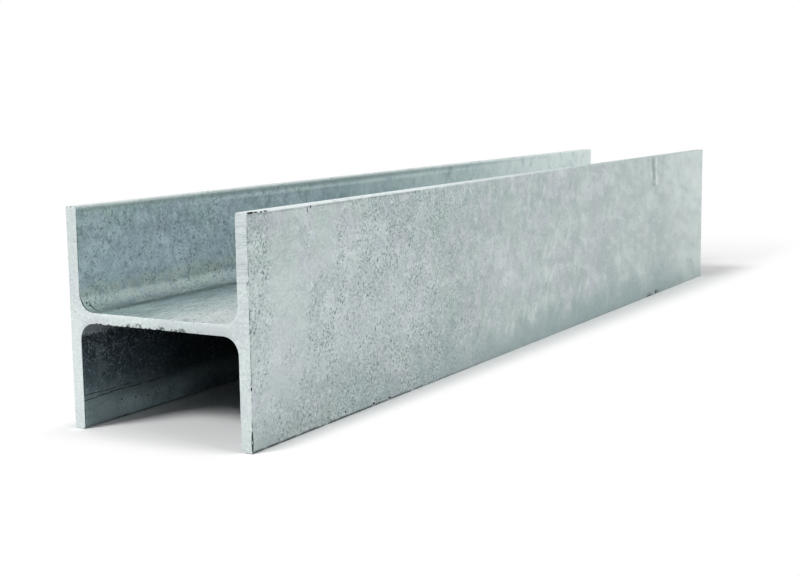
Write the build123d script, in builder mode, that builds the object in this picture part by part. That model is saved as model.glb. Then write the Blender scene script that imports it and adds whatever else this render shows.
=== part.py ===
from build123d import *
import os

# Hot-rolled H-section post, cut to length and hot-dip galvanised, lying on the toes of its flanges.
# X runs along the length, Y across the two flanges, Z up. The origin is on the floor under the middle.

# Driving dimensions of the stock, in millimetres
post_length = 600.0
section_depth = 97.5
flange_width = 99.0
flange_thickness = 6.0
web_thickness = 5.2

# The rolls set the web a little above the middle of the flanges
web_rise = 0.8

# Fillets between web and flanges, and roundings of the flange toes
root_radius = 7.5
outer_toe_radius = 0.6
inner_toe_radius = 1.3
worn_toe_radius = 2.6

# The saw's arris, softened by the zinc at both ends
end_break = 0.35

# Places worked out from the driving dimensions
outer_face = section_depth / 2
inner_face = outer_face - flange_thickness
flange_centre = outer_face - flange_thickness / 2
web_height = flange_width / 2 + web_rise
web_top = web_height + web_thickness / 2
web_bottom = web_height - web_thickness / 2


def corners(sketch, across, up):
    """The sketch's corners nearest to the crossings of these upright and level lines."""
    crossings = [(y, z) for y in across for z in up]
    return [sketch.vertices().sort_by_distance(crossing)[0] for crossing in crossings]


# Post: one rolled section, drawn across the length and extruded both ways from the middle
with BuildPart() as h_beam_post:
    with BuildSketch(Plane.YZ) as section:
        # Two flanges standing on the floor
        with Locations((-flange_centre, flange_width / 2), (flange_centre, flange_width / 2)):
            Rectangle(flange_thickness, flange_width)
        # The web between them
        with Locations((0, web_height)):
            Rectangle(flange_centre * 2, web_thickness)

        # Root fillets, where the web runs into the flanges
        fillet(corners(section, (-inner_face, inner_face), (web_bottom, web_top)), root_radius)

        # Toes: nearly sharp outside, rounder inside, and one rounded more by a worn roll
        fillet(corners(section, (-outer_face, outer_face), (0, flange_width)), outer_toe_radius)
        fillet(corners(section, (-inner_face, inner_face), (flange_width,)), inner_toe_radius)
        fillet(corners(section, (inner_face,), (0,)), inner_toe_radius)
        fillet(corners(section, (-inner_face,), (0,)), worn_toe_radius)
    extrude(amount=post_length / 2, both=True)

    # Sawn ends, with every arris broken
    end_outlines = h_beam_post.edges().group_by(Axis.X)
    chamfer(end_outlines[0] + end_outlines[-1], end_break)

h_beam_post.part.label = "h_beam_post"

os.makedirs("parts", exist_ok=True)
export_step(h_beam_post.part, "parts/h_beam_post.step")
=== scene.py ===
import bmesh
import bpy
import math
import random
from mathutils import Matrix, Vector
from types import SimpleNamespace


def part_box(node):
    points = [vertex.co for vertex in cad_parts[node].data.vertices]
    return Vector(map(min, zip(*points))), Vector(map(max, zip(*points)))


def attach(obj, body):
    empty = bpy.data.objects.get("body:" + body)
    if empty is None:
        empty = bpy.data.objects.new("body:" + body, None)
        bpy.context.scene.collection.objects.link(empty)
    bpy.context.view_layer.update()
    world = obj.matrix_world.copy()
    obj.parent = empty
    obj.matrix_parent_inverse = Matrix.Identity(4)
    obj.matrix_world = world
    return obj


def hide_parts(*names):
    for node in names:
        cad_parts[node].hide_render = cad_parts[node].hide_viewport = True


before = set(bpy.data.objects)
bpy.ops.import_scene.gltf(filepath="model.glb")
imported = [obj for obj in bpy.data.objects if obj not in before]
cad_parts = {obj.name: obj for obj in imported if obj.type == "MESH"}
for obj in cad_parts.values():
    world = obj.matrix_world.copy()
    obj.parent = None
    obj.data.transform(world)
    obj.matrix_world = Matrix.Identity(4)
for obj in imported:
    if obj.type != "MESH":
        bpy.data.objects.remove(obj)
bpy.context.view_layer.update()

# One metre is one unit. Sizes are written in millimetres and turned to metres by this factor.
MM = 0.001

# The post's box and section. X runs along it from the front end, Y across to the far flange, Z up.
post_low, post_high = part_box("h_beam_post")
FRONT, REAR = post_low.x, post_high.x
NEAR, FAR = post_low.y, post_high.y
FLOOR, TOP = post_low.z, post_high.z
LENGTH = REAR - FRONT
DEPTH = FAR - NEAR
WIDTH = TOP - FLOOR
FLANGE = 6.0 * MM
WEB = 5.2 * MM
WEB_RISE = 0.8 * MM
ROOT_RADIUS = 7.5 * MM
OUTER_TOE_RADIUS = 0.6 * MM
INNER_TOE_RADIUS = 1.3 * MM
WORN_TOE_RADIUS = 2.6 * MM
END_BREAK = 0.35 * MM

# Places that follow from the section
OUTER = DEPTH / 2
INNER = OUTER - FLANGE
CLEAR = INNER * 2
WEB_Z = FLOOR + WIDTH / 2 + WEB_RISE
WEB_TOP = WEB_Z + WEB / 2
WEB_BOTTOM = WEB_Z - WEB / 2


def place(from_front, across, up):
    """A point of the post, in millimetres from its front end, its middle plane and the floor."""
    return Vector((FRONT + from_front * MM, across * MM, FLOOR + up * MM))


# Camera: the photograph's view, from a pinhole fitted to the post's edges
CAMERA_AT = place(-428.65, -362.80, 143.18)
CAMERA_TURN = (82.266, 1.0854, -58.0728)
CAMERA_LENS = 60.10
IMAGE_WIDTH = 800
IMAGE_HEIGHT = 576
OPTICAL_CENTRE = (344.0, 280.0)
CLIP_NEAR = 10 * MM
CLIP_FAR = 50


def add_camera():
    camera = bpy.data.objects.new("camera", bpy.data.cameras.new("camera"))
    bpy.context.scene.collection.objects.link(camera)
    camera.location = CAMERA_AT
    camera.rotation_euler = [math.radians(turn) for turn in CAMERA_TURN]
    camera.data.lens = CAMERA_LENS
    camera.data.shift_x = (IMAGE_WIDTH / 2 - OPTICAL_CENTRE[0]) / IMAGE_WIDTH
    camera.data.shift_y = (OPTICAL_CENTRE[1] - IMAGE_HEIGHT / 2) / IMAGE_WIDTH
    camera.data.clip_start = CLIP_NEAR
    camera.data.clip_end = CLIP_FAR
    bpy.context.scene.camera = camera


add_camera()
bpy.context.scene.view_settings.view_transform = "Standard"


# Material helpers
def linear(hex_value):
    """An sRGB hex value as a linear colour with full alpha."""
    channels = [int(hex_value[i:i + 2], 16) / 255 for i in (0, 2, 4)]
    return [c / 12.92 if c <= 0.04045 else ((c + 0.055) / 1.055) ** 2.4 for c in channels] + [1]


def new_material(name):
    """An empty node material and its output node."""
    material = bpy.data.materials.new(name)
    material.use_nodes = True
    material.node_tree.nodes.clear()
    output = material.node_tree.nodes.new("ShaderNodeOutputMaterial")
    return material, output


def add_node(tree, kind, inputs=None, **settings):
    """Adds a node with its settings. An input takes a value, or the node or socket that feeds it."""
    node = tree.nodes.new(kind)
    for name, value in settings.items():
        setattr(node, name, value)
    for key, value in (inputs or {}).items():
        if isinstance(value, bpy.types.Node):
            value = value.outputs[0]
        if isinstance(value, bpy.types.NodeSocket):
            tree.links.new(value, node.inputs[key])
        else:
            node.inputs[key].default_value = value
    return node


def millimetres(tree, stretch=(1, 1, 1), turn=(0, 0, 0)):
    """Millimetres from the front end, the middle plane and the floor, turned and stretched for a pattern."""
    surface = add_node(tree, "ShaderNodeTexCoord")
    measured = add_node(tree, "ShaderNodeMapping", {
        "Vector": surface.outputs["Object"], "Scale": (1 / MM, 1 / MM, 1 / MM),
        "Location": (-FRONT / MM, 0, -FLOOR / MM), "Rotation": [math.radians(part) for part in turn]})
    return add_node(tree, "ShaderNodeMapping", {
        "Vector": measured, "Scale": [1 / part for part in stretch]})


# A smooth step stays between its ends by itself, and without a clamp it makes a lighter shader
SMOOTH_STEP = {"interpolation_type": "SMOOTHSTEP", "clamp": False}


def clouds(tree, at, size, low, high, detail=2):
    """Clouds of a size in millimetres, from none at one level of the noise to full at another."""
    noise = add_node(tree, "ShaderNodeTexNoise", {"Vector": at, "Scale": 1 / size, "Detail": detail})
    return add_node(tree, "ShaderNodeMapRange", {
        "Value": noise, "From Min": low, "From Max": high}, **SMOOTH_STEP)


def zone(tree, measure, start, end, soft):
    """Full between two places, and fading to nothing over a soft edge outside them."""
    rise = add_node(tree, "ShaderNodeMapRange", {
        "Value": measure, "From Min": start - soft, "From Max": start}, **SMOOTH_STEP)
    fall = add_node(tree, "ShaderNodeMapRange", {
        "Value": measure, "From Min": end + soft, "From Max": end}, **SMOOTH_STEP)
    return add_node(tree, "ShaderNodeMath", {0: rise, 1: fall}, operation="MULTIPLY")


def coat(tree, base, colour, *masks, strength=1.0, blend_type="MIX"):
    """Lays a colour over another, as strongly as its masks multiplied together allow."""
    amount = strength
    for mask in masks:
        amount = add_node(tree, "ShaderNodeMath", {0: amount, 1: mask}, operation="MULTIPLY")
    laid = add_node(tree, "ShaderNodeMix", {0: amount, 6: base, 7: linear(colour)},
                    data_type="RGBA", blend_type=blend_type)
    return laid.outputs[2]


# Edit-mode helpers
def deselect_all():
    bpy.ops.object.select_all(action="DESELECT")


def edit(piece):
    deselect_all()
    bpy.context.view_layer.objects.active = piece
    piece.select_set(True)
    bpy.ops.object.mode_set(mode="EDIT")


def leave_edit():
    bpy.ops.object.mode_set(mode="OBJECT")


def pick_faces(piece, wanted):
    """Selects only the faces whose middle and normal pass a test."""
    bpy.ops.mesh.select_mode(type="FACE")
    bpy.ops.mesh.select_all(action="DESELECT")
    mesh = bmesh.from_edit_mesh(piece.data)
    for face in mesh.faces:
        face.select_set(wanted(face.calc_center_median(), face.normal))
    bmesh.update_edit_mesh(piece.data)


def pick_edges(piece, wanted):
    """Selects only the edges whose middle and run pass a test."""
    bpy.ops.mesh.select_mode(type="EDGE")
    bpy.ops.mesh.select_all(action="DESELECT")
    mesh = bmesh.from_edit_mesh(piece.data)
    for edge in mesh.edges:
        start, end = edge.verts[0].co, edge.verts[1].co
        edge.select_set(wanted((start + end) / 2, end - start))
    bmesh.update_edit_mesh(piece.data)


# Two places this near are the same, and a direction counts as an axis from this share of its length
NEAR_ENOUGH = 0.02 * MM
ALIGNED = 0.99


def close(a, b):
    return abs(a - b) < NEAR_ENOUGH


def runs_along_post(run):
    return run.length > 0 and abs(run.x) > ALIGNED * run.length


def extrude(step):
    bpy.ops.mesh.extrude_region_move(TRANSFORM_OT_translate={"value": step})


# The rolled section, and the steps that its roundings are made in
ROOT_STEPS = 10
OUTER_TOE_STEPS = 3
INNER_TOE_STEPS = 4
WORN_TOE_STEPS = 6
END_BREAK_STEPS = 2


def rolled_post():
    """The H section, drawn out of its web, with root fillets, toes and broken arrises."""
    deselect_all()
    bpy.ops.mesh.primitive_cube_add(size=1, location=(0, 0, WEB_Z), scale=(LENGTH, CLEAR, WEB))
    post = bpy.context.object
    post.name = "galvanised_post"
    post.location.x = (FRONT + REAR) / 2
    bpy.ops.object.transform_apply(location=True, rotation=True, scale=True)
    edit(post)
    for side in (-1, 1):
        pick_faces(post, lambda middle, normal: normal.y * side > ALIGNED)
        extrude((0, side * FLANGE, 0))
    for up, reach in ((1, TOP - WEB_TOP), (-1, WEB_BOTTOM - FLOOR)):
        pick_faces(post, lambda middle, normal: normal.z * up > ALIGNED and abs(middle.y) > INNER)
        extrude((0, 0, up * reach))
    # One flat face on each sawn end
    for side in (-1, 1):
        pick_faces(post, lambda middle, normal: normal.x * side > ALIGNED)
        bpy.ops.mesh.dissolve_faces()

    def round_long_edges(wanted, radius, steps):
        pick_edges(post, lambda middle, run: runs_along_post(run) and wanted(abs(middle.y), middle))
        bpy.ops.mesh.bevel(offset=radius, segments=steps, profile=0.5, affect="EDGES")

    round_long_edges(
        lambda y, middle: close(y, INNER) and (close(middle.z, WEB_TOP) or close(middle.z, WEB_BOTTOM)),
        ROOT_RADIUS, ROOT_STEPS)
    round_long_edges(
        lambda y, middle: close(y, OUTER) and (close(middle.z, TOP) or close(middle.z, FLOOR)),
        OUTER_TOE_RADIUS, OUTER_TOE_STEPS)
    round_long_edges(
        lambda y, middle: close(middle.y, -INNER) and close(middle.z, FLOOR),
        WORN_TOE_RADIUS, WORN_TOE_STEPS)
    round_long_edges(
        lambda y, middle: close(y, INNER) and (close(middle.z, TOP) or close(middle.z, FLOOR)),
        INNER_TOE_RADIUS, INNER_TOE_STEPS)
    # Broken arrises round both sawn ends
    pick_edges(post, lambda middle, run: close(middle.x, FRONT) or close(middle.x, REAR))
    bpy.ops.mesh.bevel(offset=END_BREAK, segments=END_BREAK_STEPS, profile=0.5, affect="EDGES")
    leave_edit()
    return post


# Squares that the faces are cut into, so that they can carry relief, and shorter ones by the front end
SQUARE = 2.4 * MM
FINE_SQUARE = 1.2 * MM
FINE_REACH = 60 * MM


def even_places(start, end):
    """Places between two others, not more than a square apart."""
    parts = math.ceil((end - start) / SQUARE)
    return [start + (end - start) * i / parts for i in range(1, parts)]


def cut_into_squares(post):
    """Cuts across the height and the depth by planes, and along the length by rings."""
    heights = even_places(FLOOR + WORN_TOE_RADIUS, WEB_BOTTOM - ROOT_RADIUS)
    heights += even_places(WEB_BOTTOM - ROOT_RADIUS, WEB_BOTTOM) + even_places(WEB_BOTTOM, WEB_TOP)
    heights += even_places(WEB_TOP, WEB_TOP + ROOT_RADIUS)
    heights += even_places(WEB_TOP + ROOT_RADIUS, TOP - INNER_TOE_RADIUS)
    depths = even_places(-INNER + ROOT_RADIUS, INNER - ROOT_RADIUS)
    for side in (-1, 1):
        depths += [side * at for at in even_places(INNER + INNER_TOE_RADIUS, OUTER - OUTER_TOE_RADIUS)]
        depths += [side * at for at in even_places(INNER - ROOT_RADIUS, INNER)]
    fine_end = FRONT + FINE_REACH
    edit(post)
    for across, places in (((0, 0, 1), heights), ((0, 1, 0), depths), ((1, 0, 0), [fine_end])):
        for at in places:
            bpy.ops.mesh.select_all(action="SELECT")
            bpy.ops.mesh.bisect(plane_co=[at * part for part in across], plane_no=across)
    pick_edges(post, lambda middle, run: runs_along_post(run) and middle.x < fine_end)
    bpy.ops.mesh.subdivide(number_cuts=round(FINE_REACH / FINE_SQUARE) - 1)
    # The rest in two steps, since one makes a hundred cuts at most
    rings = round((LENGTH - FINE_REACH) / SQUARE)
    parts = 3
    for cuts in (round(rings / parts) - 1, parts - 1):
        pick_edges(post, lambda middle, run: runs_along_post(run) and middle.x > fine_end)
        bpy.ops.mesh.subdivide(number_cuts=cuts)
    leave_edit()


def sink(post, name, group, cloud, depth, stretch=None):
    """Sinks a group's surface unevenly, by up to a depth, in clouds of about the given size."""
    texture = bpy.data.textures.new(name, "CLOUDS")
    texture.noise_scale = cloud
    texture.noise_depth = 2
    relief = post.modifiers.new(name, "DISPLACE")
    relief.texture = texture
    relief.texture_coords = "LOCAL"
    relief.mid_level = 1
    relief.strength = depth
    relief.vertex_group = group
    guide = None
    if stretch:
        guide = bpy.data.objects.new("guide", None)
        bpy.context.scene.collection.objects.link(guide)
        guide.scale = stretch
        bpy.context.view_layer.update()
        relief.texture_coords = "OBJECT"
        relief.texture_coords_object = guide
    bpy.context.view_layer.objects.active = post
    bpy.ops.object.modifier_apply(modifier=name)
    if guide:
        bpy.data.objects.remove(guide)


def group_points(post, name, weigh):
    """Gives every point a weight in a named group, from its place and its normal."""
    group = post.vertex_groups.new(name=name)
    for point in post.data.vertices:
        weight = weigh(point.co, point.normal)
        if weight > 0:
            group.add([point.index], weight, "REPLACE")


# The sawn faces take little of the relief, and the narrow toes not much more
SAWN_SHARE = 0.15
TOE_SHARE = 0.3


def give_relief(post):
    """The unevenness of rolled steel under zinc: hollows, runs in the rear half and worn arrises."""
    middle = (FRONT + REAR) / 2
    # The runs come in over this length, round the middle
    rise = LENGTH / 4

    def rolled_weight(at, normal):
        if abs(normal.x) > ALIGNED:
            return SAWN_SHARE
        on_toe = min(TOP - at.z, at.z - FLOOR) < NEAR_ENOUGH
        return TOE_SHARE if on_toe and abs(normal.z) > ALIGNED else 1

    def rear_weight(at, normal):
        return rolled_weight(at, normal) * min(1, max(0, (at.x - middle) / rise + 0.5))

    def arris_weight(at, normal):
        from_end = min(at.x - FRONT, REAR - at.x)
        from_toe = min(TOP - at.z, at.z - FLOOR)
        return rolled_weight(at, normal) if min(from_end, from_toe) < FINE_SQUARE else 0

    group_points(post, "rolled_faces", rolled_weight)
    group_points(post, "rear_half", rear_weight)
    group_points(post, "arrises", arris_weight)
    sink(post, "hollows", "rolled_faces", cloud=34 * MM, depth=0.16 * MM)
    sink(post, "ripple", "rolled_faces", cloud=7 * MM, depth=0.06 * MM)
    # The runs' clouds are as large as the stretch makes them
    sink(post, "runs", "rear_half", cloud=1, depth=0.1 * MM, stretch=(7 * MM, 7 * MM, 38 * MM))
    sink(post, "wear", "arrises", cloud=4 * MM, depth=0.2 * MM)
    post.vertex_groups.clear()


# Finishes. Their places are in millimetres from the front end, the middle plane and the floor.
NEAR_Y = NEAR / MM
INNER_Y = INNER / MM
WEB_MIDDLE = WEB_Z / MM
WEB_LOW = WEB_BOTTOM / MM
WEB_HIGH = WEB_TOP / MM
TOE = TOP / MM
END = LENGTH / MM

# How far past the flanges' inner faces their relief and their rounded toes still count as inside
RELIEF_ROOM = 0.3
ROUNDING_ROOM = 0.9


def zinc_masks(tree):
    """The measures, masks and patterns that the zinc's coats share."""
    at = millimetres(tree)
    along, across, up = add_node(tree, "ShaderNodeSeparateXYZ", {0: at}).outputs
    depth = add_node(tree, "ShaderNodeMath", {0: across}, operation="ABSOLUTE")
    inside = add_node(tree, "ShaderNodeMath", {0: depth, 1: INNER_Y + RELIEF_ROOM}, operation="LESS_THAN")
    outside = add_node(tree, "ShaderNodeMath", {0: 1, 1: inside}, operation="SUBTRACT")
    below_web = add_node(tree, "ShaderNodeMath", {0: up, 1: WEB_MIDDLE}, operation="LESS_THAN")
    above_web = add_node(tree, "ShaderNodeMath", {0: 1, 1: below_web}, operation="SUBTRACT")
    near_half = add_node(tree, "ShaderNodeMath", {0: across, 1: 0}, operation="LESS_THAN")
    far_half = add_node(tree, "ShaderNodeMath", {0: 1, 1: near_half}, operation="SUBTRACT")
    near_face = add_node(tree, "ShaderNodeMath", {0: outside, 1: near_half}, operation="MULTIPLY")

    # A measure that leans with the flow of the zinc and wanders, so that no border is straight
    leaning = add_node(tree, "ShaderNodeMath", {0: up, 1: -0.55, 2: along}, operation="MULTIPLY_ADD")
    leaning = add_node(tree, "ShaderNodeMath", {
        0: clouds(tree, at, 20, 0.3, 0.7, detail=3), 1: 30, 2: leaning}, operation="MULTIPLY_ADD")

    # Where the stucco is thick: a strip by the front end, behind the clear ground, and the channels' front
    strip = add_node(tree, "ShaderNodeMath", {
        0: zone(tree, along, 0, 12, 8), 1: zone(tree, up, 38, TOE, 25)}, operation="MULTIPLY")
    dense = add_node(tree, "ShaderNodeMath", {
        0: zone(tree, leaning, 48, END, 36), 1: zone(tree, along, 0, 130, 130)}, operation="MULTIPLY")
    inside_front = add_node(tree, "ShaderNodeMath", {
        0: inside, 1: zone(tree, along, 0, 110, 110)}, operation="MULTIPLY")
    thick = add_node(tree, "ShaderNodeMath", {0: strip, 1: dense}, operation="MAXIMUM")
    thick = add_node(tree, "ShaderNodeMath", {0: thick, 1: inside_front}, operation="MAXIMUM")

    stucco = add_node(tree, "ShaderNodeTexNoise", {
        "Vector": at, "Scale": 1 / 1.35, "Detail": 3, "Roughness": 0.6, "Distortion": 0.8})
    rear_at = millimetres(tree, stretch=(22, 9, 9), turn=(0, -12, 0))
    return SimpleNamespace(
        at=at, along=along, across=across, up=up, depth=depth, inside=inside, outside=outside,
        below_web=below_web, above_web=above_web, near_half=near_half, far_half=far_half,
        near_face=near_face, leaning=leaning, thick=thick, stucco=stucco, rear_at=rear_at)


def coat_all_faces(tree, base, on):
    """Lilac-grey clouds into greenish ones, with tones from broad clouds down to a grain."""
    at, outside = on.at, on.outside
    base = coat(tree, base, "b0bdba", clouds(tree, at, 26, 0.42, 0.6, detail=3))
    base = coat(tree, base, "b0beba", outside, zone(tree, on.along, 460, END, 110), strength=0.65)
    # A greener band in the upper half, a little behind the front end, wiped along the length
    band = add_node(tree, "ShaderNodeMath", {
        0: zone(tree, on.leaning, -14, 8, 12), 1: zone(tree, on.up, 55, TOE, 30)}, operation="MULTIPLY")
    base = coat(tree, base, "b3c2bd", band, strength=0.7)
    wiped_at = millimetres(tree, stretch=(8, 1, 1), turn=(0, 4, 0))
    base = coat(tree, base, "93a49f", band, on.near_face,
                clouds(tree, wiped_at, 1, 0.48, 0.34), strength=0.4)
    # Tones from broad clouds down to blotches, which are stronger where the stucco is thick
    for colour, size, low, high, strength in (
            ("98a6a8", 60, 0.46, 0.66, 0.5),
            ("cdd6d7", 20, 0.53, 0.70, 0.4),
            ("98a6a8", 12, 0.48, 0.32, 0.45)):
        base = coat(tree, base, colour, clouds(tree, at, size, low, high, detail=3), strength=strength)
    uneven = add_node(tree, "ShaderNodeMapRange", {"Value": on.thick, "To Min": 0.4, "To Max": 1.0})
    for colour, low, high in (("cfd7d8", 0.50, 0.70), ("98a5a6", 0.50, 0.32)):
        base = coat(tree, base, colour, clouds(tree, at, 4, low, high, detail=3), uneven, strength=0.45)
    # Fine grain all over, drawn coarser than the real one so that it shows
    for colour, low, high in (("8b9899", 0.48, 0.32), ("d9e0e0", 0.52, 0.68)):
        base = coat(tree, base, colour, clouds(tree, at, 1, low, high), strength=0.22)
    return base


def coat_near_face(tree, base, on):
    """Broad tones of the front half, all but one of them on the near outer face only."""
    along, up, near_face = on.along, on.up, on.near_face
    # Greyer under the toe, with a paler patch before it
    base = coat(tree, base, "98a5a8", on.outside, zone(tree, along, 130, 240, 40),
                zone(tree, up, 78, TOE, 20), strength=0.2)
    base = coat(tree, base, "d6dee0", near_face, zone(tree, along, 66, 98, 24),
                zone(tree, up, 76, 84, 7), strength=0.22)
    # Dirtier towards the foot, behind the front end, and in the top corner
    base = coat(tree, base, "84948f", near_face, zone(tree, along, 22, 50, 24), zone(tree, up, -1, 6, 7),
                clouds(tree, on.at, 6, 0.25, 0.5, detail=3), strength=0.42)
    base = coat(tree, base, "8f9c9e", near_face, zone(tree, along, 0, 12, 12),
                zone(tree, up, 93, TOE, 6), strength=0.4)
    # Paler at half height, and a little lower by the front end
    base = coat(tree, base, "d6dee0", near_face, zone(tree, along, 18, 130, 40),
                zone(tree, up, 32, 66, 14), strength=0.28)
    return coat(tree, base, "d6dee0", near_face, zone(tree, along, 0, 28, 18),
                zone(tree, up, 20, 35, 7), strength=0.2)


def coat_runs(tree, base, on):
    """What the zinc did as it drained: smudges, then slanted runs, then blotches towards the rear."""
    at, along, outside, rear_at = on.at, on.along, on.outside, on.rear_at
    # Greenish smudges and pale lumps where the stucco thins out
    smudged = zone(tree, along, 150, 330, 60)
    base = coat(tree, base, "8ea39e", outside, smudged,
                clouds(tree, at, 9, 0.5, 0.6, detail=5), strength=0.34)
    base = coat(tree, base, "ccd5d6", outside, smudged,
                clouds(tree, at, 5, 0.54, 0.64, detail=4), strength=0.3)
    # Slanted runs in the middle of the length, and larger blotches towards the rear
    run_at = millimetres(tree, stretch=(5, 5, 15), turn=(0, -28, 0))
    base = coat(tree, base, "d3dcdb", clouds(tree, run_at, 1, 0.54, 0.72, detail=3),
                zone(tree, along, 240, 390, 70), clouds(tree, at, 30, 0.4, 0.6), strength=0.55)
    rear = zone(tree, along, 330, END, 150)
    base = coat(tree, base, "9eabaa", clouds(tree, rear_at, 1, 0.5, 0.36, detail=5),
                rear, outside, strength=0.4)
    base = coat(tree, base, "c9d3d0", clouds(tree, rear_at, 0.7, 0.5, 0.66, detail=5),
                rear, outside, strength=0.4)
    # The same runs inside the far flange, paler and darker in turn
    far_runs = zone(tree, along, 340, 440, 70)
    for colour, low, high in (("e6ece8", 0.52, 0.66), ("87968f", 0.46, 0.34)):
        base = coat(tree, base, colour, clouds(tree, run_at, 1, low, high, detail=3),
                    on.inside, on.far_half, far_runs, strength=0.45)
    return base


def coat_channels(tree, base, on):
    """The inside of the channels: painted shade tinted green, bluish patches, and the web's face brushed,
    with painted light and shade on it.
    """
    at, along, across, up = on.at, on.along, on.across, on.up
    inside, above_web, far_half = on.inside, on.above_web, on.far_half
    # Painted shade inside the channels, darker and greener than the outer faces
    base = coat(tree, base, "c6dadf", inside, strength=0.8, blend_type="MULTIPLY")
    base = coat(tree, base, "b4c8d2", inside, far_half, zone(tree, along, 0, 60, 22),
                zone(tree, up, 63, 79, 8), strength=0.34)
    base = coat(tree, base, "bccdd5", inside, far_half, zone(tree, along, 78, 92, 14),
                zone(tree, up, 67, 78, 7), strength=0.24)
    base = coat(tree, base, "8e9fab", inside, clouds(tree, at, 17, 0.46, 0.6, detail=3),
                zone(tree, up, WEB_HIGH + 16, TOE - 16, 9), strength=0.45)
    # Dust over the upper root fillets
    base = coat(tree, base, "b0bcae", inside, zone(tree, up, WEB_HIGH + 4, WEB_HIGH + 9, 5),
                clouds(tree, at, 5, 0.3, 0.6, detail=3), strength=0.5)
    # The web's upper face: painted light towards the near flange, where the far flange's shadow ends, and
    # brushed lines
    web_face = zone(tree, up, WEB_LOW, WEB_HIGH + RELIEF_ROOM, 1.5)
    painted_light_across = add_node(tree, "ShaderNodeMapRange", {
        "Value": across, "From Min": 32, "From Max": -10}, **SMOOTH_STEP)
    base = coat(tree, base, "d4ddd9", inside, above_web, web_face, painted_light_across, strength=0.7)
    brush_at = millimetres(tree, stretch=(11, 1, 1), turn=(0, 0, 5))
    base = coat(tree, base, "75857f", inside, above_web, web_face,
                clouds(tree, brush_at, 1, 0.5, 0.34, detail=4), strength=0.6)
    base = coat(tree, base, "e0e8e5", inside, above_web, web_face,
                clouds(tree, brush_at, 1, 0.52, 0.68, detail=4), strength=0.4)
    # Painted light on the web by the near corner of the front end, in brushed streaks
    base = coat(tree, base, "e6e8e8", inside, above_web, web_face, zone(tree, across, -42, -14, 14),
                zone(tree, along, 0, 24, 20), clouds(tree, brush_at, 1.6, 0.2, 0.5, detail=3), strength=0.5)
    # Dirt and painted shade along the crease where the far root fillet runs into the web, and painted shade
    # in a patch beside it by the front end
    base = coat(tree, base, "56635f", above_web, web_face, zone(tree, across, 33.4, 35.2, 3.6),
                clouds(tree, at, 1.4, 0.22, 0.5, detail=4), strength=0.85)
    return coat(tree, base, "75857f", above_web, web_face, zone(tree, across, 12, 36, 8),
                zone(tree, along, 0, 8, 16), strength=0.4)


def coat_far_flange(tree, base, on):
    """The far flange's inside above the web: mint bloom to the rear, and lines under its toe."""
    at, along, up, inside, far_half = on.at, on.along, on.up, on.inside, on.far_half
    upper_part = zone(tree, up, WEB_HIGH + 16, TOE, 12)
    base = coat(tree, base, "bfcecd", inside, far_half, upper_part, zone(tree, along, 330, END, 130),
                clouds(tree, at, 12, 0.2, 0.45, detail=3), strength=0.65)
    base = coat(tree, base, "dde7e4", inside, far_half, upper_part, zone(tree, along, 475, END, 130),
                clouds(tree, at, 9, 0.2, 0.55, detail=3), strength=0.72)
    # A pale line under the toe, and a dull strip above it
    base = coat(tree, base, "ccdbd9", inside, far_half, zone(tree, up, TOE - 4.6, TOE - 3.8, 0.9),
                zone(tree, along, 130, 360, 70), clouds(tree, at, 14, 0.25, 0.45), strength=0.4)
    return coat(tree, base, "7d918d", inside, far_half, zone(tree, up, TOE - 2.6, TOE, 0.7),
                zone(tree, along, 0, 400, 150), strength=0.25)


def coat_below_web(tree, base, on):
    """Painted shade below the web, heaviest in its corners, and painted light in a band along the foot and
    on the far root fillet.
    """
    at, along, up, inside, below_web = on.at, on.along, on.up, on.inside, on.below_web
    painted_shade_rise = add_node(tree, "ShaderNodeMapRange", {
        "Value": up, "From Min": 10, "From Max": 24}, **SMOOTH_STEP)
    # Painted shade, deepening from the foot upwards
    base = coat(tree, base, "939fac", inside, below_web, painted_shade_rise, strength=0.85, blend_type="MULTIPLY")
    # Painted shade, heaviest in the corners under the web and along the middle of the length
    corner = add_node(tree, "ShaderNodeMapRange", {
        "Value": up, "From Min": 17, "From Max": WEB_LOW - 4}, **SMOOTH_STEP)
    base = coat(tree, base, "6c757f", inside, below_web, corner, strength=0.85, blend_type="MULTIPLY")
    base = coat(tree, base, "6a747e", inside, below_web, zone(tree, up, 17, WEB_LOW, 7),
                zone(tree, along, 80, END - 80, 60), strength=0.8, blend_type="MULTIPLY")
    # Painted light from the floor, in a pale band along the foot a little behind the front end
    base = coat(tree, base, "e6fbff", inside, zone(tree, up, -1, 6, 8), zone(tree, along, 36, 60, 32),
                clouds(tree, at, 9, 0.1, 0.4))
    base = coat(tree, base, "7c8a96", inside, below_web, zone(tree, up, -1, 12, 5),
                clouds(tree, at, 5, 0.46, 0.62, detail=4), strength=0.25)
    # Bluish scuffs and a fine, patchy grain below the web by the front end
    base = coat(tree, base, "b4c0cd", inside, below_web, zone(tree, up, 13, 42, 5),
                zone(tree, along, 12, 24, 8), clouds(tree, at, 5, 0.46, 0.66, detail=5), strength=0.4)
    base = coat(tree, base, "aabccb", inside, below_web, zone(tree, up, 10, 40, 5),
                zone(tree, along, 14, 46, 24), clouds(tree, at, 0.9, 0.52, 0.66),
                clouds(tree, at, 7, 0.36, 0.56, detail=3), strength=0.75)
    # Painted light on the far root fillet by the front end
    return coat(tree, base, "b0b9be", below_web, zone(tree, up, 42.5, WEB_LOW, 1.5),
                zone(tree, on.across, 34, 42, 1.2), zone(tree, along, 0, 8, 22), strength=0.7)


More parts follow.
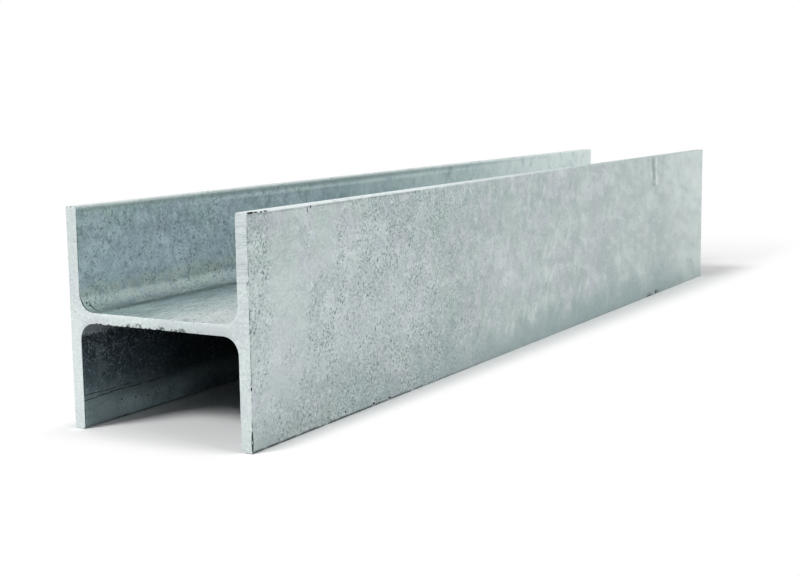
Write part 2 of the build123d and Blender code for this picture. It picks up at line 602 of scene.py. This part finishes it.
def coat_foot_and_rear(tree, base, on):
    """The outer faces' foot and rear end: a teal tide mark, duller and paler patches, and mint bloom."""
    at, along, up, outside, rear_at = on.at, on.along, on.up, on.outside, on.rear_at
    # The tide mark along the foot, strongest towards the rear
    tide_edge = add_node(tree, "ShaderNodeMath", {
        0: clouds(tree, at, 24, 0.3, 0.7), 1: 12, 2: up}, operation="MULTIPLY_ADD")
    tide = add_node(tree, "ShaderNodeMapRange", {
        "Value": tide_edge, "From Min": 31, "From Max": 9}, **SMOOTH_STEP)
    base = coat(tree, base, "8fa3a3", outside, tide, zone(tree, along, 360, 540, 240), strength=0.65)
    base = coat(tree, base, "93a3a4", outside, tide, zone(tree, along, 110, END, 60), strength=0.45)
    # Two duller patches and a paler one at half height of the near face, where the zinc cooled unevenly
    for colour, first, last, low, high in (
            ("96a3a2", 520, 548, 60, 72),
            ("9aa6a8", 60, 135, 56, 64),
            ("d3dbdc", 252, 290, 38, 44)):
        base = coat(tree, base, colour, on.near_face, zone(tree, along, first, last, 26),
                    zone(tree, up, low, high, 7), clouds(tree, at, 11, 0.3, 0.55, detail=3), strength=0.25)
    # Mint bloom at the rear end, in blotches, with a duller foot
    base = coat(tree, base, "cfdad7", outside, zone(tree, along, 585, END, 90),
                clouds(tree, rear_at, 1.3, 0.25, 0.6, detail=5), strength=0.6)
    base = coat(tree, base, "8c9c9b", outside, zone(tree, along, 520, END, 50),
                zone(tree, up, -1, 4, 7), strength=0.3)
    return coat(tree, base, "cfdad7", zone(tree, along, 500, END, 60), zone(tree, up, 72, TOE, 25),
                clouds(tree, rear_at, 0.8, 0.25, 0.6, detail=5), outside, strength=0.4)


def coat_stucco(tree, base, on):
    """The stucco itself: dark and pale flecks, in slanted clusters, and specks of spilt zinc."""
    cluster_at = millimetres(tree, stretch=(8, 8, 18), turn=(0, -28, 0))
    patchy = add_node(tree, "ShaderNodeMapRange", {
        "Value": clouds(tree, cluster_at, 1, 0.38, 0.6), "To Min": 0.45, "To Max": 1.0})
    base = coat(tree, base, "9cafaa", on.outside, on.thick,
                clouds(tree, cluster_at, 1, 0.48, 0.62, detail=4), strength=0.3)
    thick = add_node(tree, "ShaderNodeMapRange", {"Value": on.thick, "To Min": 0.2, "To Max": 1.0})
    dark_fleck = add_node(tree, "ShaderNodeMapRange", {
        "Value": on.stucco, "From Min": 0.49, "From Max": 0.36}, **SMOOTH_STEP)
    pale_fleck = add_node(tree, "ShaderNodeMapRange", {
        "Value": on.stucco, "From Min": 0.52, "From Max": 0.66}, **SMOOTH_STEP)
    low_in_channel = add_node(tree, "ShaderNodeMath", {0: on.inside, 1: on.below_web}, operation="MULTIPLY")
    fleck_strength = add_node(tree, "ShaderNodeMapRange", {
        "Value": low_in_channel, "To Min": 0.85, "To Max": 0.4})
    base = coat(tree, base, "67747a", dark_fleck, thick, patchy, fleck_strength)
    base = coat(tree, base, "d7dfe0", pale_fleck, thick, patchy, on.outside, strength=0.55)
    base = coat(tree, base, "adbfc1", pale_fleck, thick, patchy, on.inside, strength=0.45)
    # Pale specks of spilt zinc low in the channel, thickest by its corner
    return coat(tree, base, "dcebf2", low_in_channel, clouds(tree, on.at, 1.3, 0.62, 0.67),
                zone(tree, on.along, 6, 16, 12), zone(tree, on.up, 34, 44, 9), strength=0.9)


def coat_gouge_dirt_and_shade(tree, base, on):
    """The gouge near the rear end, dirt where the zinc has thinned, and painted contact shade along the near
    foot.
    """
    at, along, up, near_face = on.at, on.along, on.up, on.near_face
    # The gouge is greyer than its face, with a pale lip
    slanted = add_node(tree, "ShaderNodeMath", {0: up, 1: 0.12, 2: along}, operation="MULTIPLY_ADD")
    gouge_height = zone(tree, up, 79, TOE, 1.5)
    base = coat(tree, base, "8a9793", near_face, gouge_height, zone(tree, slanted, 495.4, 498.8, 3),
                clouds(tree, at, 5, 0.22, 0.5, detail=3), strength=0.85)
    base = coat(tree, base, "dfe6e5", near_face, gouge_height, zone(tree, slanted, 502.5, 504, 3),
                clouds(tree, at, 4, 0.35, 0.6, detail=3), strength=0.5)
    # Dirt lines round the front end, and dirt with painted contact shade along the near foot
    base = coat(tree, base, "3f4a4b", zone(tree, along, 0, 0.7, 0.4),
                clouds(tree, at, 7, 0.44, 0.56), strength=0.65)
    base = coat(tree, base, "3a4445", zone(tree, up, -1, 0.6, 0.9), near_face,
                zone(tree, along, 0, 60, 200), clouds(tree, at, 6, 0.34, 0.5), strength=0.9)
    # A dirty smudge at the near foot, below the gouge
    return coat(tree, base, "616d6b", zone(tree, up, -1, 1.5, 2.5), near_face,
                zone(tree, along, 484, 494, 14), clouds(tree, at, 9, 0.25, 0.5), strength=0.75)


def coat_toes(tree, base, on):
    """Painted highlights on the toes, the near one brightest by the front end and dimmest towards the rear.
    """
    at, along, up, near_half = on.at, on.along, on.up, on.near_half
    toe = zone(tree, up, TOE - 0.5, TOE, 0.5)
    # A dark line along the outer arrises, under the bright toe
    base = coat(tree, base, "7f8c89", on.outside, zone(tree, up, TOE - 1.5, TOE - 1.1, 0.4),
                zone(tree, along, 0, 110, 70), clouds(tree, at, 8, 0.35, 0.5), strength=0.5)
    # Painted highlights along the toes, brightest on the near one by the front end and dimmer towards its
    # rear
    base = coat(tree, base, "dfe7e7", toe, clouds(tree, at, 6, 0.3, 0.45), strength=0.35)
    base = coat(tree, base, "eef5f5", toe, near_half, zone(tree, along, 0, 110, 160), strength=0.35)
    base = coat(tree, base, "9caaaa", toe, near_half, zone(tree, along, 380, END, 150), strength=0.6)
    # The far flange's rounding inside its toe stays dull
    rounding = add_node(tree, "ShaderNodeMath", {
        0: on.depth, 1: INNER_Y + ROUNDING_ROOM}, operation="LESS_THAN")
    return coat(tree, base, "75857f", rounding, on.far_half, zone(tree, up, TOE - 2.2, TOE, 0.5),
                zone(tree, along, 0, 230, 240), strength=0.45)


def zinc():
    """Hot-dip zinc on hot-rolled steel: matt, in lilac and green clouds, under a stucco of fine flecks."""
    material, output = new_material("hot_dip_galvanised_zinc")
    tree = material.node_tree
    on = zinc_masks(tree)
    base = linear("b4babe")
    for lay in (coat_all_faces, coat_near_face, coat_runs, coat_channels, coat_far_flange, coat_below_web,
                coat_foot_and_rear, coat_stucco, coat_gouge_dirt_and_shade, coat_toes):
        base = lay(tree, base, on)

    rough = add_node(tree, "ShaderNodeMapRange", {
        "Value": clouds(tree, on.at, 4, 0.3, 0.7), "To Min": 0.46, "To Max": 0.64})
    waves = add_node(tree, "ShaderNodeTexNoise", {"Vector": on.at, "Scale": 1 / 4, "Detail": 3})
    height = add_node(tree, "ShaderNodeMath", {0: on.stucco, 1: 0.7, 2: waves}, operation="MULTIPLY_ADD")
    bump = add_node(tree, "ShaderNodeBump", {"Height": height, "Strength": 0.6, "Distance": 0.25 * MM})
    shader = add_node(tree, "ShaderNodeBsdfPrincipled", {
        "Base Color": base, "Metallic": 0.6, "Roughness": rough, "Normal": bump})
    tree.links.new(shader.outputs[0], output.inputs["Surface"])
    return material


def sawn_end():
    """A sawn face under zinc: paler and smoother than the rolled faces, with a few of the saw's lines."""
    material, output = new_material("sawn_and_galvanised_end")
    tree = material.node_tree
    at = millimetres(tree)
    along, across, up = add_node(tree, "ShaderNodeSeparateXYZ", {0: at}).outputs

    base = coat(tree, linear("ccd3d6"), "cdd8d5", clouds(tree, at, 14, 0.4, 0.6))
    for colour, size, low, high, strength in (
            ("c0c9cb", 9, 0.5, 0.7, 0.5),
            ("e6eded", 1.6, 0.5, 0.66, 0.45),
            ("b4bdbf", 1.3, 0.48, 0.34, 0.5)):
        base = coat(tree, base, colour, clouds(tree, at, size, low, high, detail=3), strength=strength)
    # Greyer towards the upper toes, and where the near flange meets the web
    base = coat(tree, base, "b4bcbe", zone(tree, up, TOE - 12, TOE, 40), strength=0.28)
    base = coat(tree, base, "b6bfc1", zone(tree, across, NEAR_Y, -INNER_Y, 3), zone(tree, up, 50, 58, 8),
                clouds(tree, at, 2.2, 0.35, 0.6, detail=3), strength=0.4)
    # Paler on the far flange's lower half, and greyer along the web
    base = coat(tree, base, "e6eeee", zone(tree, across, INNER_Y, -NEAR_Y, 3), zone(tree, up, 0, 40, 20),
                strength=0.32)
    base = coat(tree, base, "b2babc", zone(tree, across, -34, -6, 14), zone(tree, up, WEB_LOW, WEB_HIGH, 3),
                strength=0.5)

    # Lines of the saw, coarser than the real ones so that they show, and clear only near the top
    # of the near flange
    saw_at = millimetres(tree, stretch=(1, 22, 0.6), turn=(4, 0, 0))
    lines = add_node(tree, "ShaderNodeTexNoise", {"Vector": saw_at, "Scale": 1, "Detail": 2})
    sawn = add_node(tree, "ShaderNodeMath", {
        0: zone(tree, up, 74, 95, 24), 1: zone(tree, across, NEAR_Y, -INNER_Y, 2)}, operation="MULTIPLY")
    sawn = add_node(tree, "ShaderNodeMapRange", {"Value": sawn, "To Min": 0.2, "To Max": 1.0})
    dark_line = add_node(tree, "ShaderNodeMapRange", {"Value": lines, "From Min": 0.5, "From Max": 0.36})
    base = coat(tree, base, "99a4a6", dark_line, sawn, strength=0.45)

    # Pits, and dark stains on the lower edge of the web at the front
    base = coat(tree, base, "7d888a", clouds(tree, at, 1.4, 0.33, 0.27), strength=0.7)
    stain_edge = add_node(tree, "ShaderNodeMath", {
        0: clouds(tree, at, 4, 0.35, 0.65), 1: -2.4, 2: up}, operation="MULTIPLY_ADD")
    base = coat(tree, base, "39443f", zone(tree, stain_edge, WEB_LOW - 3, WEB_LOW - 0.7, 0.9),
                zone(tree, across, -14, 17, 5), zone(tree, along, 0, END / 2, 1),
                clouds(tree, at, 1.6, 0.4, 0.54, detail=4), strength=0.85)

    height = add_node(tree, "ShaderNodeMath", {
        0: lines, 1: 0.7, 2: clouds(tree, at, 1.6, 0.3, 0.7)}, operation="MULTIPLY_ADD")
    bump = add_node(tree, "ShaderNodeBump", {"Height": height, "Strength": 0.4, "Distance": 0.1 * MM})
    shader = add_node(tree, "ShaderNodeBsdfPrincipled", {
        "Base Color": base, "Metallic": 0.5, "Roughness": 0.5, "Normal": bump})
    tree.links.new(shader.outputs[0], output.inputs["Surface"])
    return material


def oxide():
    """Dull oxide and dirt that settled in the cuts, nearly black and without any sheen."""
    material, output = new_material("oxide_in_the_cuts")
    tree = material.node_tree
    base = coat(tree, linear("12191a"), "3a4445", clouds(tree, millimetres(tree), 0.8, 0.3, 0.7))
    shader = add_node(tree, "ShaderNodeBsdfPrincipled", {
        "Base Color": base, "Metallic": 0.1, "Roughness": 0.85})
    tree.links.new(shader.outputs[0], output.inputs["Surface"])
    return material


FINISHES = [zinc(), sawn_end(), oxide()]
ZINC, SAWN, OXIDE = range(len(FINISHES))


def take_finishes(piece):
    for finish in FINISHES:
        piece.data.materials.append(finish)


# Marks that are cut into the post by pebbles, each with its middle and half sizes in millimetres
DIRTY_CUTS = [
    # The notch in the near flange's top corner, and the dashes behind it
    ((3.2, NEAR_Y + 0.1, 98.6), (2.6, 0.9, 0.55)),
    ((7.0, NEAR_Y, 98.7), (1.9, 0.6, 0.5)),
    ((10.6, NEAR_Y, 98.5), (1.2, 0.5, 0.4)),
    ((13.6, NEAR_Y, 98.6), (1.7, 0.5, 0.4)),
    # Two ticks under the near flange's top edge
    ((44.4, NEAR_Y, 96.7), (0.35, 0.3, 1.5)),
    ((47.0, NEAR_Y, 97.8), (0.5, 0.35, 1.0)),
    # The split arris at the foot of the near flange's front end
    ((0.2, NEAR_Y + 0.1, 4.8), (0.75, 0.6, 5.4)),
    ((0.2, NEAR_Y, 13.0), (0.35, 0.35, 3.6)),
    ((0.5, NEAR_Y, 27.1), (0.6, 0.45, 1.0)),
    # Nicks in the near flange's bottom edge
    ((26.0, NEAR_Y, 0.2), (9.0, 0.4, 0.35)),
    ((47.0, NEAR_Y, 0.2), (7.0, 0.4, 0.4)),
    ((72.0, NEAR_Y, 2.7), (0.9, 0.4, 0.5)),
    ((97.0, NEAR_Y, 1.4), (1.3, 0.5, 0.7)),
    ((111.8, NEAR_Y, 1.2), (1.2, 0.5, 0.6)),
    ((480.0, NEAR_Y, 0.4), (6.5, 0.5, 0.8)),
    ((494.0, NEAR_Y, 1.5), (2.0, 0.5, 1.7)),
    # The rear arris of the near flange, and the front corner of the far one
    ((END - 0.3, NEAR_Y, 41.0), (0.5, 0.4, 3.2)),
    ((0.2, 48.2, 98.8), (0.6, 0.7, 0.4)),
    ((0.2, 45.6, 98.9), (0.5, 0.6, 0.35)),
    ((0.2, 42.6, 98.8), (0.5, 0.5, 0.4)),
    # Pits and two broken scores inside the far flange, below the web
    ((24.9, INNER_Y, 8.7), (0.6, 0.4, 0.5)),
    ((34.6, INNER_Y, 7.7), (0.6, 0.4, 0.5)),
    ((43.1, INNER_Y, 6.9), (0.5, 0.4, 0.5)),
    ((48.9, INNER_Y, 7.2), (0.5, 0.4, 0.5)),
    ((4.0, INNER_Y, 12.8), (7.0, 0.22, 0.25)),
    ((13.5, INNER_Y, 13.2), (7.0, 0.22, 0.25)),
    ((23.0, INNER_Y, 13.6), (8.0, 0.22, 0.3)),
    ((35.0, INNER_Y, 13.3), (7.0, 0.22, 0.25)),
    ((47.0, INNER_Y, 13.4), (8.0, 0.2, 0.25)),
    ((5.0, INNER_Y, 15.1), (8.0, 0.22, 0.25)),
    ((17.0, INNER_Y, 14.8), (7.0, 0.22, 0.25)),
    ((29.0, INNER_Y, 15.0), (6.0, 0.2, 0.22)),
    # Pits in the far upper root fillet, beside its crack, and in the crease behind it
    ((3.3, 41.6, 56.4), (0.5, 0.6, 0.7)),
    ((4.1, 40.6, 55.2), (0.4, 0.5, 0.6)),
    ((15.0, 33.8, WEB_HIGH), (1.2, 0.7, 0.35)),
]
CLEAN_CUTS = [
    # The upright gouge near the rear end, and its short tail
    ((486.2, NEAR_Y, 92.0), (3.2, 0.6, 8.0)),
    ((487.6, NEAR_Y, 81.6), (2.8, 0.5, 3.2)),
    # A flake gone from the near flange's front arris
    ((0.1, NEAR_Y + 0.3, 67.8), (0.45, 0.8, 3.8)),
]

# A row of chips under the front edge of the web, from its far side, in millimetres
WEB_CHIPS = 17
WEB_CHIPS_FROM = 33
WEB_CHIP_STEP = 2.8

# Small chips along each edge of the toes, clear of the ends, some of them dirty
TOE_CHIPS = 12
CLEAR_OF_END = 3
DIRTY_SHARE = 0.3

# Small chips round the ends of the flanges, below the web or as much higher as takes them above it
END_CHIPS = 5
CLEAR_OF_FOOT = 2
CLEAR_OF_WEB = 10
TO_UPPER_HALF = 58

# The draw that every chip is placed and sized by
SEED = 5

# The crack round the far upper root fillet, cut by two rings. Each has its place from the front end
# in millimetres, its lean in degrees and its depth in millimetres.
CRACK_RINGS = [(4.9, 60, 0.38), (0.9, 42, 0.34)]
# A ring is smaller than the fillet by its depth and this, so that it meets it only where it leans
RING_ROOM = 1


def empty_cutter():
    """A mesh with no points yet, in edit mode. Its axes stand at the origin, as the post's do."""
    deselect_all()
    bpy.ops.mesh.primitive_cube_add(size=MM, location=(0, 0, 0))
    cutter = bpy.context.object
    take_finishes(cutter)
    edit(cutter)
    bpy.ops.mesh.select_all(action="SELECT")
    bpy.ops.mesh.delete(type="VERT")
    return cutter


def take_cut_finish(cutter, finish):
    """Gives what was just added to the cutter the finish that its cut shows."""
    cutter.active_material_index = finish
    bpy.ops.object.material_slot_assign()


def add_pebble(cutter, middle, half, finish):
    bpy.ops.mesh.primitive_ico_sphere_add(
        subdivisions=2, radius=1, location=place(*middle), scale=[part * MM for part in half])
    take_cut_finish(cutter, finish)


def add_chips(cutter, chance):
    """A row of chips under the web's front edge, and small chips in every arris."""
    for i in range(WEB_CHIPS):
        middle = (0.2, WEB_CHIPS_FROM - i * WEB_CHIP_STEP + chance.uniform(-1, 1), WEB_LOW)
        half = (0.5, chance.uniform(0.5, 1.4), chance.uniform(0.25, 0.75))
        add_pebble(cutter, middle, half, OXIDE)
    for across in (-OUTER, -INNER, INNER, OUTER):
        for up in (FLOOR, TOP):
            for _ in range(TOE_CHIPS):
                along = chance.uniform(CLEAR_OF_END, END - CLEAR_OF_END)
                half = (chance.uniform(0.5, 1.8), chance.uniform(0.3, 0.7), chance.uniform(0.3, 0.6))
                finish = OXIDE if chance.random() < DIRTY_SHARE else ZINC
                add_pebble(cutter, (along, across / MM, up / MM), half, finish)
    for end in (0, END):
        for across in (-OUTER, -INNER, INNER, OUTER):
            for _ in range(END_CHIPS):
                height = chance.uniform(CLEAR_OF_FOOT, WEB_LOW - CLEAR_OF_WEB)
                height += chance.choice((0, TO_UPPER_HALF))
                half = (chance.uniform(0.3, 0.6), chance.uniform(0.3, 0.6), chance.uniform(0.3, 1.2))
                add_pebble(cutter, (end, across / MM, height), half, SAWN)


def add_crack(cutter):
    """The rings of the crack, which are smaller than the root fillet and lean into it."""
    radius = ROOT_RADIUS / MM
    for from_front, lean, depth in CRACK_RINGS:
        shift = RING_ROOM + depth
        middle = place(from_front,
                       INNER_Y - radius + shift * math.cos(math.radians(lean)),
                       WEB_HIGH + radius - shift * math.sin(math.radians(lean)))
        bpy.ops.mesh.primitive_torus_add(
            location=middle, rotation=(0, math.radians(90), 0), major_radius=ROOT_RADIUS - shift * MM,
            minor_radius=depth * MM, major_segments=48, minor_segments=8)
        take_cut_finish(cutter, OXIDE)


def cut_marks(post, chance):
    """Cuts the marks, the chips and the crack out of the post, all at once."""
    cutter = empty_cutter()
    for cuts, finish in ((DIRTY_CUTS, OXIDE), (CLEAN_CUTS, ZINC)):
        for middle, half in cuts:
            add_pebble(cutter, middle, half, finish)
    add_chips(cutter, chance)
    add_crack(cutter)
    leave_edit()

    cutting = post.modifiers.new("marks", "BOOLEAN")
    cutting.object = cutter
    cutting.operation = "DIFFERENCE"
    cutting.solver = "MANIFOLD"
    deselect_all()
    bpy.context.view_layer.objects.active = post
    bpy.ops.object.modifier_apply(modifier="marks")
    bpy.ops.object.material_slot_remove_unused()
    bpy.data.objects.remove(cutter)


# Edges that turn more than this many degrees stay sharp
SHARP_TURN = 35


def smooth_faces(post):
    """Smooth shading that keeps the arrises and lets the large faces stay flat."""
    deselect_all()
    bpy.context.view_layer.objects.active = post
    post.select_set(True)
    bpy.ops.object.shade_smooth_by_angle(angle=math.radians(SHARP_TURN))
    weighting = post.modifiers.new("weighting", "WEIGHTED_NORMAL")
    weighting.keep_sharp = True
    bpy.ops.object.modifier_apply(modifier="weighting")


post = rolled_post()
cut_into_squares(post)
give_relief(post)
take_finishes(post)
for face in post.data.polygons:
    from_end = min(face.center.x - FRONT, REAR - face.center.x)
    face.material_index = SAWN if from_end < END_BREAK else ZINC
cut_marks(post, random.Random(SEED))
smooth_faces(post)


# Studio, in metres: a floor that fades into a white backdrop round the shadow, which widens to the rear
FLOOR_SIZE = 30
SHADOW_REACH_FRONT = (0.025, 0.012, 1)
SHADOW_REACH_REAR = (0.34, 0.035, 1)
WHITE = (1, 1, 1, 1)
CARD = (0.82, 0.82, 0.82, 1)
CARD_BOUNCE = (0.4, 0.4, 0.4, 1)


def shown_to_eye(tree):
    """One for what the camera sees, straight, in a reflection or through glass."""
    path = add_node(tree, "ShaderNodeLightPath")
    shown = path.outputs["Is Camera Ray"]
    for ray in ("Is Glossy Ray", "Is Transmission Ray"):
        shown = add_node(tree, "ShaderNodeMath", {0: shown, 1: path.outputs[ray]}, operation="MAXIMUM")
    return shown


def floor_finish():
    """White card: the shadow shows round the post, and beyond it the card fades into the backdrop."""
    material, output = new_material("pale_studio_floor")
    tree = material.node_tree
    surface = add_node(tree, "ShaderNodeTexCoord")
    away = surface.outputs["Object"]
    along = add_node(tree, "ShaderNodeSeparateXYZ", {0: away}).outputs[0]
    to_rear = add_node(tree, "ShaderNodeMapRange", {"Value": along, "From Min": FRONT, "From Max": REAR})
    reach = add_node(tree, "ShaderNodeMix", {0: to_rear, 4: SHADOW_REACH_FRONT, 5: SHADOW_REACH_REAR},
                     data_type="VECTOR")
    for operation, other in (("ABSOLUTE", None), ("SUBTRACT", (LENGTH / 2, DEPTH / 2, 0)),
                             ("MAXIMUM", (0, 0, 0)), ("DIVIDE", reach.outputs[1])):
        inputs = {0: away} if other is None else {0: away, 1: other}
        away = add_node(tree, "ShaderNodeVectorMath", inputs, operation=operation)
    far = add_node(tree, "ShaderNodeVectorMath", {0: away}, operation="LENGTH")
    fade = add_node(tree, "ShaderNodeMapRange", {"Value": far.outputs["Value"]}, **SMOOTH_STEP)
    card = add_node(tree, "ShaderNodeBsdfDiffuse", {"Color": CARD})
    backdrop = add_node(tree, "ShaderNodeEmission", {"Color": WHITE, "Strength": 1.0})
    seen = add_node(tree, "ShaderNodeMixShader", {0: fade, 1: card, 2: backdrop})
    bounce = add_node(tree, "ShaderNodeBsdfDiffuse", {"Color": CARD_BOUNCE})
    mix = add_node(tree, "ShaderNodeMixShader", {0: shown_to_eye(tree), 1: bounce, 2: seen})
    tree.links.new(mix.outputs[0], output.inputs["Surface"])
    return material


def add_floor():
    deselect_all()
    bpy.ops.mesh.primitive_plane_add(size=FLOOR_SIZE, location=(0, 0, FLOOR))
    floor = bpy.context.object
    floor.name = "studio_floor"
    floor.data.materials.append(floor_finish())


def add_world():
    """A soft ceiling of light, darker towards the horizon, that the camera sees as plain white."""
    world = bpy.data.worlds.new("studio")
    world.use_nodes = True
    bpy.context.scene.world = world
    tree = world.node_tree
    tree.nodes.clear()
    output = add_node(tree, "ShaderNodeOutputWorld")
    direction = add_node(tree, "ShaderNodeTexCoord")
    height = add_node(tree, "ShaderNodeSeparateXYZ", {0: direction.outputs["Generated"]}).outputs[2]
    ceiling = add_node(tree, "ShaderNodeMapRange", {
        "Value": height, "From Min": 0.2, "From Max": 0.7, "To Min": 0.06, "To Max": 0.52},
        **SMOOTH_STEP)
    soft = add_node(tree, "ShaderNodeBackground", {"Color": WHITE, "Strength": ceiling})
    seen = add_node(tree, "ShaderNodeBackground", {"Color": WHITE, "Strength": 1.0})
    mix = add_node(tree, "ShaderNodeMixShader", {0: shown_to_eye(tree), 1: soft, 2: seen})
    tree.links.new(mix.outputs[0], output.inputs["Surface"])


def add_softbox(name, at, size, power):
    """A lamp of a width and a height in metres, which faces the middle of the post."""
    lamp = bpy.data.objects.new(name, bpy.data.lights.new(name, "AREA"))
    bpy.context.scene.collection.objects.link(lamp)
    lamp.location = at
    lamp.rotation_euler = (Vector((0, 0, WEB_Z)) - lamp.location).to_track_quat("-Z", "Y").to_euler()
    lamp.data.shape = "RECTANGLE"
    lamp.data.size, lamp.data.size_y = size
    lamp.data.energy = power


add_floor()
add_world()
add_softbox("key_softbox", at=(-2.1, 1.0, 1.75), size=(0.9, 0.6), power=66)
add_softbox("fill_softbox", at=(0.15, -2.2, 1.25), size=(2.0, 0.8), power=41)

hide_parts("h_beam_post")
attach(post, "root")
